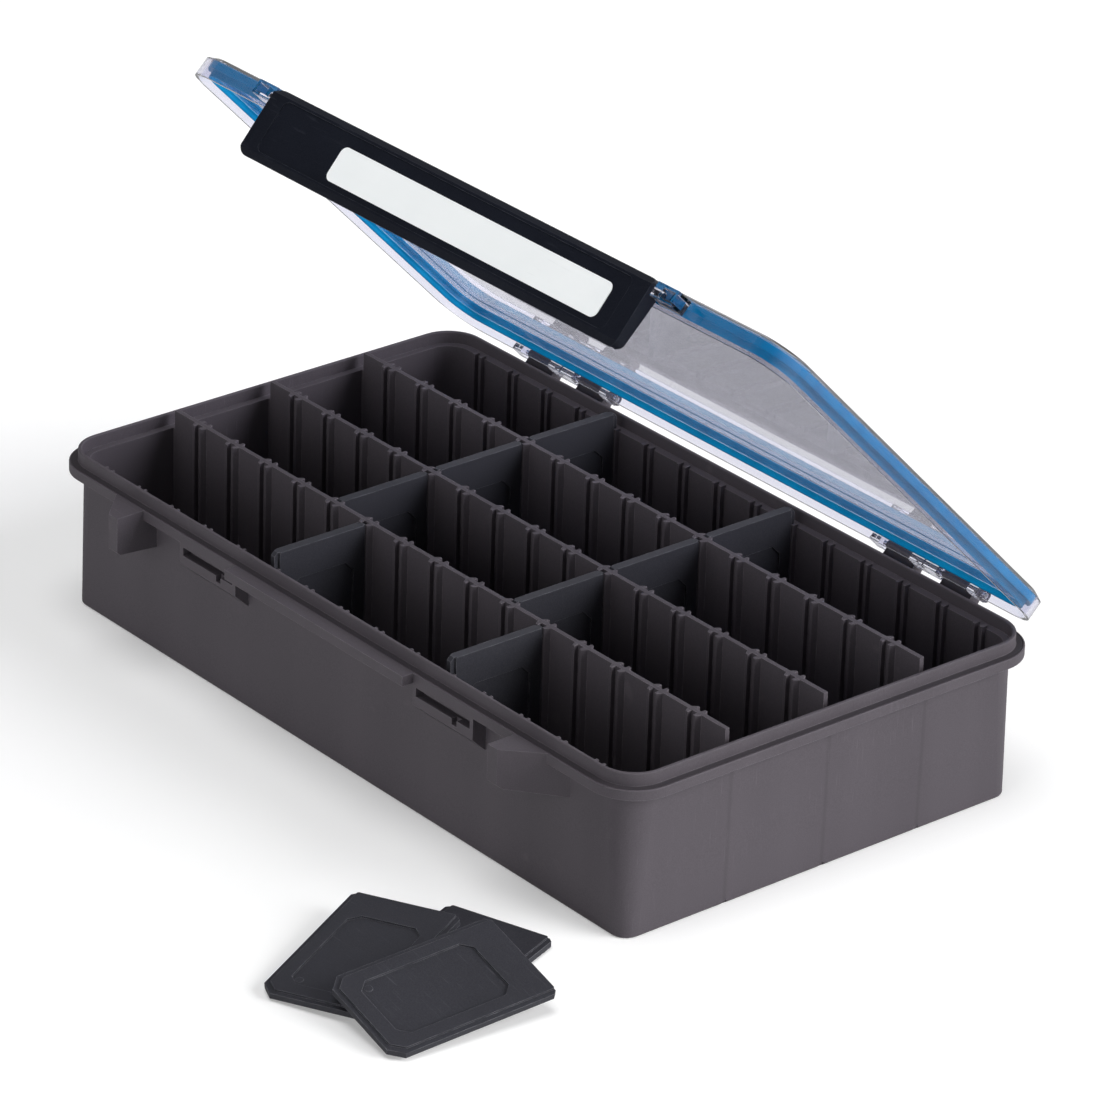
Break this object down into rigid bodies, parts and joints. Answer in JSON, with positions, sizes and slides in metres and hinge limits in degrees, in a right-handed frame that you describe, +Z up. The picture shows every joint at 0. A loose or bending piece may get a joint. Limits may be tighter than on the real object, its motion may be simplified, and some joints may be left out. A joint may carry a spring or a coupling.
{
  "type": "tackle box",
  "caption": "Deep tackle box with ribbed lanes, lift-out dividers, a sealed clear lid hinged at the back, a full-width front latch and loose spare dividers on the floor.",
  "frame": {"origin": "centre of the tub's flat underside, on the floor", "axes": "+X along the box to the right seen from its latch side, +Y from the latch side to the hinge, +Z up"},
  "size_m": [0.375, 0.3364, 0.2281],
  "materials": {
    "tub_plastic": "charcoal, fine moulded grain",
    "divider_plastic": "dark grey, fine moulded grain",
    "lid_clear": "clear, polished",
    "seal_rubber": "blue, satin",
    "latch_plastic": "near black, fine texture",
    "label_card": "white, blank",
    "pin_steel": "bright drawn wire"
  },
  "bodies": {
    "base": {"tub": "tub_plastic", "partition_front": "tub_plastic", "partition_middle": "tub_plastic", "partition_rear": "tub_plastic", "hinge_pin_left": "pin_steel", "hinge_pin_right": "pin_steel"},
    "lid": {"lid": "lid_clear", "lid_seal": "seal_rubber"},
    "latch": {"latch": "latch_plastic", "latch_label": "label_card"},
    "divider_lane1_left_body": {"divider_lane1_left": "divider_plastic"},
    "divider_lane1_right_body": {"divider_lane1_right": "divider_plastic"},
    "divider_lane2_left_body": {"divider_lane2_left": "divider_plastic"},
    "divider_lane2_right_body": {"divider_lane2_right": "divider_plastic"},
    "divider_lane3_left_body": {"divider_lane3_left": "divider_plastic"},
    "divider_lane3_right_body": {"divider_lane3_right": "divider_plastic"},
    "divider_lane4_left_body": {"divider_lane4_left": "divider_plastic"},
    "divider_lane4_right_body": {"divider_lane4_right": "divider_plastic"},
    "spare_lower_body": {"spare_divider_lower": "divider_plastic"},
    "spare_leaning_body": {"spare_divider_leaning": "divider_plastic"},
    "spare_upper_body": {"spare_divider_upper": "divider_plastic"}
  },
  "joints": [
    {"name": "lid_hinge", "type": "hinge", "parent": "base", "child": "lid", "pos_m": [0, 0.109, 0.0675], "axis": [-1, 0, 0], "range_deg": [-45.7, 124.3]},
    {"name": "latch_hinge", "type": "hinge", "parent": "lid", "child": "latch", "pos_m": [0, -0.04149, 0.22329], "axis": [-1, 0, 0], "range_deg": [0, 95]},
    {"name": "divider_lane1_left_lift", "type": "slide", "parent": "base", "child": "divider_lane1_left_body", "axis": [0, 0, 1], "range_m": [0, 0.085]},
    {"name": "divider_lane1_right_lift", "type": "slide", "parent": "base", "child": "divider_lane1_right_body", "axis": [0, 0, 1], "range_m": [0, 0.085]},
    {"name": "divider_lane2_left_lift", "type": "slide", "parent": "base", "child": "divider_lane2_left_body", "axis": [0, 0, 1], "range_m": [0, 0.085]},
    {"name": "divider_lane2_right_lift", "type": "slide", "parent": "base", "child": "divider_lane2_right_body", "axis": [0, 0, 1], "range_m": [0, 0.085]},
    {"name": "divider_lane3_left_lift", "type": "slide", "parent": "base", "child": "divider_lane3_left_body", "axis": [0, 0, 1], "range_m": [0, 0.06]},
    {"name": "divider_lane3_right_lift", "type": "slide", "parent": "base", "child": "divider_lane3_right_body", "axis": [0, 0, 1], "range_m": [0, 0.06]},
    {"name": "divider_lane4_left_lift", "type": "slide", "parent": "base", "child": "divider_lane4_left_body", "axis": [0, 0, 1], "range_m": [0, 0.015]},
    {"name": "divider_lane4_right_lift", "type": "slide", "parent": "base", "child": "divider_lane4_right_body", "axis": [0, 0, 1], "range_m": [0, 0.015]},
    {"name": "spare_lower_slide", "type": "slide", "parent": "base", "child": "spare_lower_body", "axis": [0.5, -0.866, 0], "range_m": [0, 0.08]},
    {"name": "spare_leaning_lift", "type": "slide", "parent": "spare_lower_body", "child": "spare_leaning_body", "axis": [0, 0, 1], "range_m": [0, 0.08]},
    {"name": "spare_upper_lift", "type": "slide", "parent": "spare_leaning_body", "child": "spare_upper_body", "axis": [0, 0, 1], "range_m": [0, 0.08]}
  ]
}
